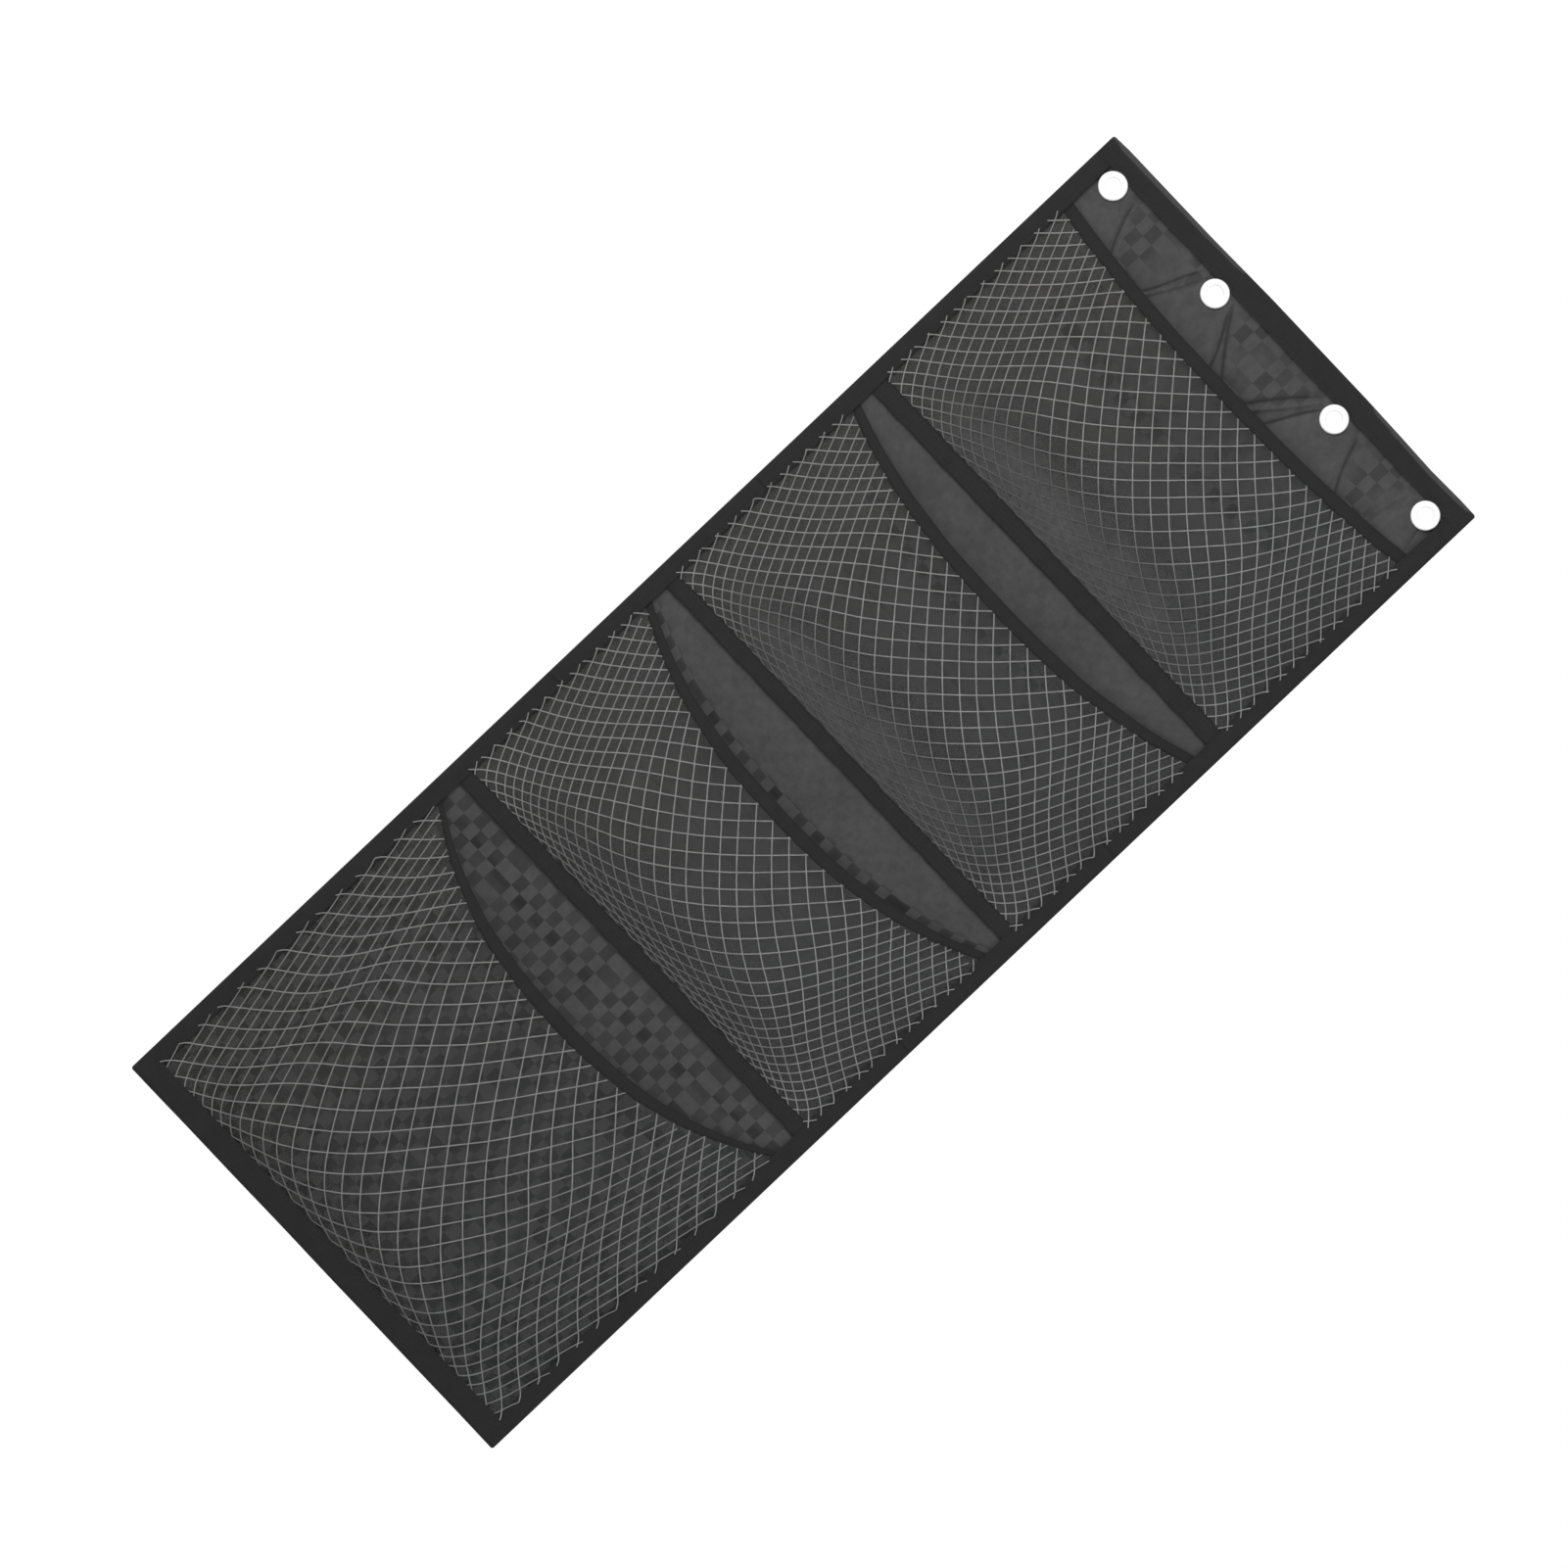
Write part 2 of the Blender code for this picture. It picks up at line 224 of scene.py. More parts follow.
class Build:
    """Gathers vertices, faces, UVs in metres and material numbers for one mesh."""

    def __init__(self):
        self.points, self.faces, self.uvs, self.slots = [], [], [], []
        self.values = {}

    def grid(self, points, uv, slot=0, flip=False, keep=None, **values):
        """Adds a grid of quads. points is (rows, columns, 3), uv is (rows, columns, 2), keep is per quad."""
        rows, columns = points.shape[:2]
        first = sum(len(p) for p in self.points)
        self.points.append(points.reshape(-1, 3))
        index = first + np.arange(rows * columns).reshape(rows, columns)
        corners = (index[:-1, :-1], index[:-1, 1:], index[1:, 1:], index[1:, :-1])
        quads = np.stack(corners[::-1] if flip else corners, -1).reshape(-1, 4)
        quads = quads if keep is None else quads[keep.ravel()]
        flat = uv.reshape(-1, 2)
        self.faces.append(quads)
        self.uvs.append(flat[(quads - first).ravel()])
        self.slots.append(np.full(len(quads), slot))
        for name, value in values.items():
            self.values.setdefault(name, []).append((first, np.ravel(value)))
        return index

    def strip(self, a, b, flip=False):
        """Joins two equally long rows of vertex numbers with quads."""
        a, b = np.asarray(a), np.asarray(b)
        corners = (a[:-1], a[1:], b[1:], b[:-1])
        quads = np.stack(corners[::-1] if flip else corners, -1)
        self.faces.append(quads)
        self.uvs.append(np.zeros((quads.size, 2)))
        self.slots.append(np.zeros(len(quads)))

    def object(self, name, materials):
        """The finished mesh object, shaded smooth."""
        points, faces = np.concatenate(self.points), np.concatenate(self.faces)
        mesh = bpy.data.meshes.new(name)
        mesh.from_pydata(points.tolist(), [], faces.tolist())
        layer = mesh.uv_layers.new(name="UVMap")
        layer.data.foreach_set("uv", np.concatenate(self.uvs).astype(np.float32).ravel())
        mesh.polygons.foreach_set("material_index", np.concatenate(self.slots).astype(np.int32))
        for key, parts in self.values.items():
            attribute = mesh.attributes.new(key, "FLOAT", "POINT")
            filled = np.zeros(len(points), np.float32)
            for first, value in parts:
                filled[first : first + len(value)] = value
            attribute.data.foreach_set("value", filled)
        for material in materials:
            mesh.materials.append(material)
        mesh.shade_smooth()
        mesh.validate()
        return placed(name, mesh)


def sheet_between(build, x, z, front_f, back_f, uv=None, keep=None, **values):
    """A closed thin sheet over a grid of (x, z), between two forward distances. keep marks its quads."""
    front = np.stack((x, -front_f, z), -1)
    back = np.stack((x, -back_f, z), -1)
    uv = np.stack((x, z), -1) if uv is None else uv
    keep = np.ones((x.shape[0] - 1, x.shape[1] - 1), bool) if keep is None else keep
    a = build.grid(front, uv, flip=True, keep=keep, **values)
    b = build.grid(back, uv, keep=keep, **values)
    padded = np.pad(keep, 1)
    above, below = padded[:-1, 1:-1], padded[1:, 1:-1]
    for rows, flip in ((below & ~above, False), (above & ~below, True)):
        for i, j in np.argwhere(rows):
            build.strip(a[i, j : j + 2], b[i, j : j + 2], flip=flip)
    left, right = padded[1:-1, :-1], padded[1:-1, 1:]
    for rows, flip in ((right & ~left, True), (left & ~right, False)):
        for i, j in np.argwhere(rows):
            build.strip(a[i : i + 2, j], b[i : i + 2, j], flip=flip)


def travel(points):
    """Distance along a line of points, from its start."""
    steps = np.linalg.norm(np.diff(points, axis=0), axis=1)
    return np.concatenate(([0.0], np.cumsum(steps)))


def folded_profile(stops, depth, thick, turn_points=9):
    """A tape folded in a U: a closed ring of (distance from the fold, forward distance), and its arc.

    stops are the distances from the fold of the legs' points, from the legs' ends inwards.
    """
    radius = depth / 2
    turn = np.linspace(0.0, math.pi, turn_points)[1:-1]

    def path(inset):
        r = radius - inset
        front = [(a, depth - inset) for a in stops]
        bend = [(radius - r * math.sin(t), radius + r * math.cos(t)) for t in turn]
        back = [(a, inset) for a in stops[::-1]]
        return front + bend + back

    ring = np.array(path(0.0) + path(thick)[::-1])
    return ring, travel(np.concatenate((ring, ring[:1])))


def ring_loft(build, rings, arc, along, **values):
    """A closed ring carried along a path, with its ends closed. rings is (stations, ring points, 3)."""
    around = np.concatenate((rings, rings[:, :1]), 1)
    uv = np.stack(np.broadcast_arrays(along[:, None], arc[None, :]), -1)
    values = {k: np.concatenate((v, v[:, :1]), 1) for k, v in values.items()}
    index = build.grid(around, uv, **values)
    half = rings.shape[1] // 2
    for row, flip in ((index[0], False), (index[-1], True)):
        build.strip(row[:half], row[half : 2 * half][::-1], flip=flip)


def along_ring(stations, ring):
    """The stations, and the ring's two distances, as (stations, ring points) arrays."""
    return np.broadcast_arrays(stations[:, None], ring[None, :, 0], ring[None, :, 1])


def flat_tube(across, squareness, flatness):
    """A flattened tube's outline, across and through it from -1 to 1, and the x of all its points."""
    turn = np.linspace(0.0, 2.0 * math.pi, 33)[:-1]
    squared = np.sign(np.cos(turn)) * np.abs(np.cos(turn)) ** squareness
    raised = np.sign(np.sin(turn)) * np.abs(np.sin(turn)) ** flatness
    return squared, raised, np.broadcast_to(across[:, None], (len(across), len(turn)))


def groove(distance, reach, depth):
    """The hollow that a line of stitches presses into a tape."""
    return depth * np.exp(-((distance / reach) ** 2))


def stitches(build, path, outward):
    """Short rounded stitches along a path of points, raised along outward, in the second material."""
    travelled = travel(path)
    profile = ((0.0, 0.25), (0.18, 0.85), (0.5, 1.0), (0.82, 0.85), (1.0, 0.25))
    for start in np.arange(STITCH_PITCH / 2, travelled[-1] - STITCH_PITCH, STITCH_PITCH):
        a, b = (
            np.array([np.interp(place, travelled, line) for line in path.T])
            for place in (start, start + STITCH_LENGTH)
        )
        along = (b - a) / np.linalg.norm(b - a)
        side = np.cross(along, outward)
        section = np.outer(np.cos(AROUND), side) + np.outer(np.sin(AROUND), outward) * 0.8
        grid = np.array([a * (1 - t) + b * t + STITCH_RADIUS * r * section for t, r in profile])
        build.grid(grid, np.stack((grid[..., 0] + grid[..., 2], grid[..., 1]), -1), slot=1)


# -------- materials


class Nodes:
    """A small helper that adds and links shader nodes."""

    def __init__(self, name):
        self.material = bpy.data.materials.new(name)
        self.material.use_nodes = True
        self.tree = self.material.node_tree
        self.shader = self.tree.nodes["Principled BSDF"]

    def add(self, kind, inputs=(), **settings):
        node = self.tree.nodes.new(kind)
        for key, value in settings.items():
            setattr(node, key, value)
        for key, value in dict(inputs).items():
            self.set(node.inputs[key], value)
        return node

    def set(self, socket, value):
        if isinstance(value, bpy.types.NodeSocket):
            self.tree.links.new(value, socket)
        else:
            socket.default_value = value

    def uv(self, turn=0.0):
        """UVs, in metres, turned by an angle."""
        source = self.add("ShaderNodeUVMap", uv_map="UVMap")
        inputs = {"Vector": source.outputs[0], "Rotation": (0.0, 0.0, turn)}
        return self.add("ShaderNodeMapping", inputs).outputs[0]

    def value(self, name):
        """A float stored on the mesh's points."""
        return self.add("ShaderNodeAttribute", attribute_name=name).outputs["Fac"]

    def noise(self, vector, size, detail=3.0, roughness=0.55):
        inputs = {"Vector": vector, "Scale": 1.0 / size, "Detail": detail, "Roughness": roughness}
        return self.add("ShaderNodeTexNoise", inputs).outputs["Fac"]

    def ribs(self, vector, pitch, axis="X", distortion=0.0):
        """Parallel ribs with the given spacing."""
        inputs = {"Vector": vector, "Scale": 0.31416 / pitch, "Distortion": distortion}
        return self.add("ShaderNodeTexWave", inputs, bands_direction=axis).outputs["Fac"]

    def math(self, operation, a, b=0.0):
        return self.add("ShaderNodeMath", {0: a, 1: b}, operation=operation).outputs[0]

    def span(self, value, low, high, to_low=0.0, to_high=1.0):
        """Maps a range of values to another, clamped."""
        names = ("Value", "From Min", "From Max", "To Min", "To Max")
        inputs = dict(zip(names, (value, low, high, to_low, to_high)))
        return self.add("ShaderNodeMapRange", inputs).outputs["Result"]

    def mix(self, share, a, b):
        node = self.add("ShaderNodeMix", {"Factor": share}, data_type="RGBA")
        for key, colour in (("A", a), ("B", b)):
            socket = [s for s in node.inputs if s.name == key and s.type == "RGBA"][0]
            self.set(socket, colour)
        return [s for s in node.outputs if s.type == "RGBA"][0]

    def tinted(self, colour, value):
        """A colour made lighter or darker by a value around 1."""
        return self.add("ShaderNodeHueSaturation", {"Color": colour, "Value": value}).outputs[0]

    def bump(self, height, distance, strength=1.0):
        inputs = {"Height": height, "Distance": distance, "Strength": strength}
        return self.add("ShaderNodeBump", inputs).outputs["Normal"]

    def finish(self, **inputs):
        for key, value in inputs.items():
            self.set(self.shader.inputs[key.replace("_", " ")], value)
        return self.material


def grey(level, warmth=0.0):
    """A grey from its linear level, a little warm or cool."""
    return (level * (1.0 + warmth), level, level * (1.0 - warmth), 1.0)


def cloth_material():
    """Dark plain-woven cloth with a woven check; painted shade in its creases and along sagging rows of the
    check, painted light below the eyelets.
    """
    n = Nodes("back_cloth")
    flat = n.uv()
    parts = n.add("ShaderNodeSeparateXYZ", {"Vector": flat}).outputs
    across = n.math("DIVIDE", n.math("ABSOLUTE", parts[0]), CHECK_COLUMN)
    past_wide = n.span(across, WIDE_COLUMN + 1.0, WIDE_COLUMN + 2.0)
    column = n.math("FLOOR", n.math("SUBTRACT", across, past_wide))
    rows_up = n.math("DIVIDE", n.math("SUBTRACT", parts[1], CHECK_LEVEL), CHECK_ROW)
    row = n.math("FLOOR", n.math("ADD", rows_up, 0.5))
    odd = n.math("FLOORED_MODULO", n.math("ADD", column, row), 2.0)
    side = n.math("MULTIPLY", n.math("SIGN", parts[0]), 40.0)
    cell = n.add("ShaderNodeCombineXYZ", {"X": n.math("ADD", column, side), "Y": row}).outputs[0]
    chance = n.add("ShaderNodeTexWhiteNoise", {"Vector": cell}, noise_dimensions="2D").outputs["Value"]
    # the check's dark squares, darkened further along some rows as painted shadow
    depth = n.math("MULTIPLY", n.math("MULTIPLY", odd, n.value("check")), n.span(chance, 0.0, 1.0, 0.55, 1.0))
    mottle = n.span(n.noise(flat, 0.005, 4.0, 0.65), 0.28, 0.72, 0.84, 1.16)
    broad = n.span(n.noise(flat, 0.028, 2.0), 0.3, 0.7, 0.90, 1.10)
    plain = n.mix(depth, grey(CLOTH_TONE), grey(CHECK_TONE))
    # painted light: paler patches below the eyelets
    plain = n.mix(n.value("pale"), plain, grey(PAINTED_LIGHT_TONE))
    # painted shade in the hollows of the creases
    plain = n.mix(n.value("crease"), plain, grey(CREASE_SHADE_TONE))
    shade = n.tinted(plain, n.math("MULTIPLY", mottle, broad))
    warp, weft = n.ribs(flat, 0.00055), n.ribs(flat, 0.00055, "Y")
    weave = n.math("ADD", n.math("MULTIPLY", warp, weft), n.math("MULTIPLY", n.noise(flat, 0.0011), 0.7))
    height = n.math("ADD", weave, n.math("MULTIPLY", n.noise(flat, 0.009, 2.0), 1.5))
    return n.finish(
        Base_Color=shade,
        Roughness=n.span(weave, 0.0, 1.4, 0.62, 0.86),
        Normal=n.bump(height, 0.00028, 0.8),
        Specular_IOR_Level=0.25,
        Sheen_Weight=0.04,
        Sheen_Roughness=0.5,
    )


def tape_material(name, level):
    """Matte woven binding tape: fine ribs across, painted shade where it turns over an edge, and a painted
    sheen on the top band's back layer.
    """
    n = Nodes(name)
    flat = n.uv()
    tone = n.span(n.noise(flat, 0.012, 4.0), 0.3, 0.7, 0.90, 1.10)
    fuzz = n.span(n.noise(flat, 0.0012, 2.0), 0.3, 0.75, 0.92, 1.14)
    # painted shade: darker where the tape turns over an edge, standing for the shadow line along the fold
    base = n.mix(n.value("edge"), grey(level), grey(level * 0.35))
    # painted sheen: lighter on the top band's back layer where it shows above the front
    base = n.mix(n.value("pale"), base, grey(PAINTED_SHEEN_TONE))
    shade = n.tinted(base, n.math("MULTIPLY", tone, fuzz))
    ribs = n.math("ADD", n.ribs(flat, 0.0008, "X", 0.4), n.math("MULTIPLY", n.ribs(flat, 0.0005, "Y"), 0.5))
    return n.finish(
        Base_Color=shade,
        Roughness=n.span(ribs, 0.0, 1.5, 0.70, 0.90),
        Normal=n.bump(ribs, 0.00022, 0.7),
        Specular_IOR_Level=0.18,
        Sheen_Weight=0.02,
        Sheen_Roughness=0.6,
    )


def stitch_material():
    """Dark sewing thread, a shade lighter than the tape, with its twist."""
    n = Nodes("sewing_thread")
    twist = n.ribs(n.uv(turn=0.6), 0.0004)
    return n.finish(
        Base_Color=n.mix(twist, *(grey(tone) for tone in STITCH_TONES)),
        Roughness=0.60,
        Normal=n.bump(twist, 0.0001),
        Specular_IOR_Level=0.2,
    )


def net_material():
    """Fine dark net: small round holes in a knitted ground, warmer at the left and cooler at the right."""
    n = Nodes("net_ground")
    flat = n.uv()
    cell = {"Vector": flat, "Scale": 1.0 / 0.0015, "Randomness": 0.35}
    holes = n.add("ShaderNodeTexVoronoi", cell, feature="F1").outputs["Distance"]
    open_share = n.span(holes, 0.18, 0.40, 1.0, 0.0)
    tone = n.span(n.noise(flat, 0.004, 4.0, 0.65), 0.28, 0.72, 0.74, 1.24)
    broad = n.span(n.noise(flat, 0.030, 2.0), 0.3, 0.7, 0.92, 1.08)
    place = n.add("ShaderNodeSeparateXYZ", {"Vector": flat}).outputs[0]
    drift = n.math("ADD", place, n.span(n.noise(flat, 0.060, 1.0), 0.3, 0.7, -0.05, 0.05))
    ground = n.mix(n.span(drift, -0.12, 0.12), grey(NET_TONE, 0.035), grey(NET_TONE, -0.03))
    ground = n.mix(n.math("MULTIPLY", open_share, 0.35), ground, grey(HOLE_TONE))
    ground = n.mix(n.value("haze"), ground, grey(GATHERED_TONE))
    shade = n.tinted(ground, n.math("MULTIPLY", tone, broad))
    return n.finish(
        Base_Color=shade,
        Roughness=0.82,
        Alpha=n.math("MAXIMUM", n.span(open_share, 0.0, 1.0, 0.24, 0.07), n.value("haze")),
        Normal=n.bump(holes, 0.0003, 0.8),
        Specular_IOR_Level=0.2,
        Sheen_Weight=0.03,
    )


def cord_material():
    """The net's pale grey threads, twisted, a little dirty, darker towards the base seam as painted shade,
    and dimmer on steep runs.
    """
    n = Nodes("net_thread")
    twist = n.ribs(n.uv(turn=0.7), 0.0011)
    patch = n.span(n.noise(n.uv(), 0.008, 3.0), 0.3, 0.7)
    bright = n.mix(patch, *(grey(tone, 0.01) for tone in CORD_TONES))
    # painted shade: the threads darken towards the base seam; steep threads are dimmed too
    colour = n.mix(n.value("fade"), bright, grey(DIM_THREAD_TONE))
    shade = n.tinted(colour, n.span(twist, 0.0, 1.0, 0.86, 1.06))
    return n.finish(
        Base_Color=shade,
        Roughness=0.65,
        Normal=n.bump(twist, 0.00015),
        Specular_IOR_Level=0.25,
        Sheen_Weight=0.1,
    )


def eyelet_material():
    """Bright white plated metal, lightly scuffed."""
    n = Nodes("eyelet_plating")
    flat = n.uv()
    scuff = n.noise(flat, 0.0016, 4.0, 0.7)
    return n.finish(
        Base_Color=n.mix(n.span(scuff, 0.35, 0.7), grey(0.95), grey(0.88)),
        Metallic=0.35,
        Roughness=n.span(scuff, 0.3, 0.7, 0.24, 0.40),
        Normal=n.bump(scuff, 0.00003, 0.4),
    )


def floor_material():
    """Plain pale floor with a barely uneven tone."""
    n = Nodes("floor")
    place = n.add("ShaderNodeTexCoord").outputs["Object"]
    tone = n.noise(place, 1 / 3, 3.0, 0.5)
    return n.finish(Base_Color=n.mix(tone, *(grey(level) for level in FLOOR_TONES)), Roughness=0.7)


# -------- the back cloth


def near_eyelets(x, z, inside, outside):
    """1 within a radius of an eyelet's middle, and 0 past a larger one."""
    found = [1.0 - smooth((np.hypot(x - e, z) - inside) / (outside - inside)) for e in EYELETS_X]
    return np.max(found, axis=0)


# Creases in the header, from an eyelet down to the first mouth: top (x, z), bottom (x, z), height, width
CREASES = (
    ((-121, 5), (-109, -28), 1.5, 1.5),
    ((-117, 3), (-105, -28), -1.0, 1.2),
    ((-57, 3), (-73, -31), 1.8, 1.5),
    ((-59, 5), (-77, -31), -1.2, 1.1),
    ((-36, 2), (-13, -34), 1.9, 1.7),
    ((-35, 5), (-6, -34), -1.4, 1.5),
    ((-33, 0), (-17, -30), -1.0, 1.2),
    ((44, 4), (17, -34), 1.8, 1.7),
    ((40, 4), (10, -34), -1.4, 1.4),
    ((47, 0), (27, -33), -0.9, 1.3),
    ((68, 4), (81, -31), 1.4, 1.4),
    ((71, 3), (86, -30), -0.9, 1.3),
    ((116, 2), (109, -29), 0.9, 1.4),
    ((135, -6), (138, -24), -0.9, 1.1),
)


def creases(x, z):
    """The creases' relief, and how deep in one of their hollows a point is, from 0 to 1, for the painted
    shade there.
    """
    relief, hollow = x * 0.0, x * 0.0
    for (x0, z0), (x1, z1), height, width in CREASES:
        a, d = np.array((x0, z0)) * MM, np.array((x1 - x0, z1 - z0)) * MM
        along = ((x - a[0]) * d[0] + (z - a[1]) * d[1]) / (d @ d)
        across = ((x - a[0]) * d[1] - (z - a[1]) * d[0]) / np.linalg.norm(d)
        across = across + 0.6 * MM * np.sin(along * 5.0 + x0)
        fade = smooth((along + 0.05) / 0.25) * smooth((1.3 - along) / 0.3)
        fold = fade * np.exp(-((across / (0.68 * width * MM)) ** 2))
        relief = relief + height * MM * fold
        if height < 0:
            hollow = np.maximum(hollow, fold)
    return relief, hollow


def header_share(x, z):
    """1 on the open header between the top band and the first mouth, easing to 0 at its edges."""
    inside = smooth((INNER - np.abs(x)) / (9 * MM))
    return inside * smooth((z + 50 * MM) / (16 * MM)) * smooth((TOP_BAND_LOW + 0.5 * MM - z) / (4 * MM))


def header_relief(x, z):
    """How the header cloth stands forward: drawn in at the eyelets and creased below them."""
    drawn = EYELET_LIFT * near_eyelets(x, z, FLANGE + 0.6 * MM, 15 * MM)
    loose = 1.0 - near_eyelets(x, z, FLANGE, 13 * MM)
    folds = (creases(x, z)[0] + 0.5 * MM * waves(x, z, 17 * MM, 3.0)) * loose
    under_band = np.where(z > TOP_BAND_LOW, 1.0, 0.0) * smooth((TOP_BAND_LOW + 6 * MM - z) / (5 * MM))
    return np.maximum(drawn + folds, -0.3 * MM) * header_share(x, z) + 0.4 * drawn * under_band


def painted_light_patches(x, z):
    """Painted light: the paler patches that widen down from each eyelet, where the cloth's tilted facets
    catch the light.
    """
    half = 11 * MM + 0.55 * (5 * MM - z)
    found = [smooth((half - np.abs(x - e - 4 * MM)) / (3 * MM)) for e in EYELETS_X]
    return np.max(found, axis=0) * header_share(x, z)


def cloth_relief(x, z):
    """Gentle unevenness of the cloth, which dies out at the bands and seams and behind the nets' edges."""
    inside = smooth((INNER - np.abs(x)) / (25 * MM))
    for low, high in TAPES:
        inside = inside * smooth((np.abs(z - (low + high) / 2) - 7 * MM) / (10 * MM))
    below = smooth((-60 * MM - z) / (20 * MM)) * smooth((z - BOTTOM_BAND_HIGH) / (12 * MM))
    return header_relief(x, z) + 0.5 * MM * np.maximum(waves(x, z, 37 * MM, 8.0), -0.5) * inside * below


def check_sag(x, z):
    """How far the check's dark rows, and the painted shadow along them, sag in the middle."""
    heights = (-760, -520, -470, -220, -130, -75, -30, 20)
    return between(z, heights, (11, 11, 25, 25, 20, 20, 8, 0)) * curve(x)


# Rows where the check's squares are darkened as painted shadow, along the mouths' sag: height at the sides,
# half width, left end, right end, depth
CHECK_SHADOW_ROWS = (
    (-526.4, 4.6, -150, 150, 0.95),
    (-360.0, 4.0, -150, 150, 0.90),
    (-209.0, 4.4, -110, 60, 1.0),
    (-61.0, 7.0, -115, 95, 1.0),
)


def check_and_shadow_depth(x, z):
    level = z + check_sag(x, z)
    patches = smooth(waves(x, z, 22 * MM, 5.0) * 1.5 + 0.55)
    lowest = smooth((FOLDS[2] - z) / MM)
    netted = smooth((FOLDS[2] - 50 * MM - z) / (12 * MM))
    depth = 0.05 + 0.05 * patches + lowest * (0.56 + 0.36 * netted)
    # painted shadow: the check's squares darkened along rows that follow the mouths' sag
    for height, half, left, right, dark in CHECK_SHADOW_ROWS:
        ends = smooth((x - left * MM) / (12 * MM)) * smooth((right * MM - x) / (12 * MM))
        depth = np.maximum(depth, dark * ends * np.exp(-(((level - height * MM) / (half * MM)) ** 4)))
    header = smooth((z + 75 * MM) / (10 * MM))
    return np.clip(np.maximum(depth, 0.17 * header + 0.34 * patches * header), 0.0, 1.0)


def back_cloth(name, upper, lower, materials):
    """One stretch of the back cloth, with holes where the eyelets' barrels pass."""
    build = Build()
    fine_low = -56 * MM
    if upper > 0:
        fine = np.linspace(upper, fine_low, int((upper - fine_low) / (1.0 * MM)))
        coarse = np.linspace(fine_low, lower, int((fine_low - lower) / (3.0 * MM)))[1:]
        heights, columns = np.concatenate((fine, coarse)), 301
    else:
        heights, columns = np.linspace(upper, lower, int((upper - lower) / (2.0 * MM))), 201
    x, z = np.meshgrid(np.linspace(-CLOTH_HALF, CLOTH_HALF, columns), heights)
    front = CLOTH_FRONT_F + cloth_relief(x, z)
    centre_x, centre_z = (x[1:, 1:] + x[1:, :-1]) / 2, (z[1:, :-1] + z[:-1, :-1]) / 2
    clear = np.min([np.hypot(centre_x - e, centre_z) for e in EYELETS_X], axis=0) > BARREL_ROOM
    back = front - (CLOTH_FRONT_F - CLOTH_BACK_F)
    sheet_between(
        build, x, z, front, back,
        uv=np.stack((x, z + check_sag(x, z) * smooth((z - FOLDS[2]) / (30 * MM))), -1),
        keep=clear,
        # the woven check, with painted shadow along some rows
        check=check_and_shadow_depth(x, z),
        # painted light in the patches below the eyelets
        pale=painted_light_patches(x, z) * 0.8,
        # painted shade in the hollows of the header's creases
        crease=creases(x, z)[1] * header_share(x, z) * 0.9,
    )
    return build.object(name, materials)


# -------- bands, tapes and rims


def side_band(name, side, upper, lower, materials):
    """A stretch of the band folded round a side edge, stitched near its inner edge on both faces."""
    build = Build()
    ring, arc = folded_profile(np.linspace(HALF - INNER, BAND_DEPTH / 2, 12), BAND_DEPTH, TAPE_THICK)
    heights = np.linspace(upper, lower, int((upper - lower) / (3 * MM)) + 2)
    z, a, f = along_ring(heights, ring)
    wander = 0.35 * MM * waves(z, z * 0.0 + side, 23 * MM, 1.0) * smooth((a - 7 * MM) / (4 * MM))
    pinch = groove(a - (HALF - INNER - BAND_STITCH), 1.1 * MM, 0.25 * MM)
    f = f + np.where(f > BAND_DEPTH / 2, -pinch, pinch)
    rings = np.stack((side * (HALF - a + wander), -f, z), -1)
    # painted shade along the band's outer turn
    edge = 1.0 - smooth(a / (0.9 * MM))
    if side < 0:
        rings, edge = rings[:, ::-1], edge[:, ::-1]
    ring_loft(build, rings, arc, heights, edge=edge)
    for forward, outward in ((BAND_DEPTH - STITCH_SINK, FRONT), (STITCH_SINK, REAR)):
        path = np.array([(side * (INNER + BAND_STITCH), -forward, h) for h in heights])
        stitches(build, path, outward)
    return build.object(name, materials)


def second_layer(x):
    """How much of the back layer shows above the top band's front."""
    places = (-148, -142, -118, -60, -38, 62, 84, 118, 140, 149)
    return between(x, places, (0.3, 1.9, 1.8, 1.0, 0.0, 0.0, 1.2, 1.9, 1.5, 0.0))


def top_outline(x):
    """How the panel's upper edge rises and dips."""
    places = (-152, -140, -70, -20, 60, 90, 115, 140, 152)
    return between(x, places, (-0.4, 0.2, 0.1, 0.9, 0.7, 0.1, -0.6, 0.0, -0.2))


def pressed(x, z):
    """How far the top band's front is pressed back round the eyelets."""
    return 0.85 * MM * near_eyelets(x, z, FLANGE + 0.4 * MM, FLANGE + 5 * MM)


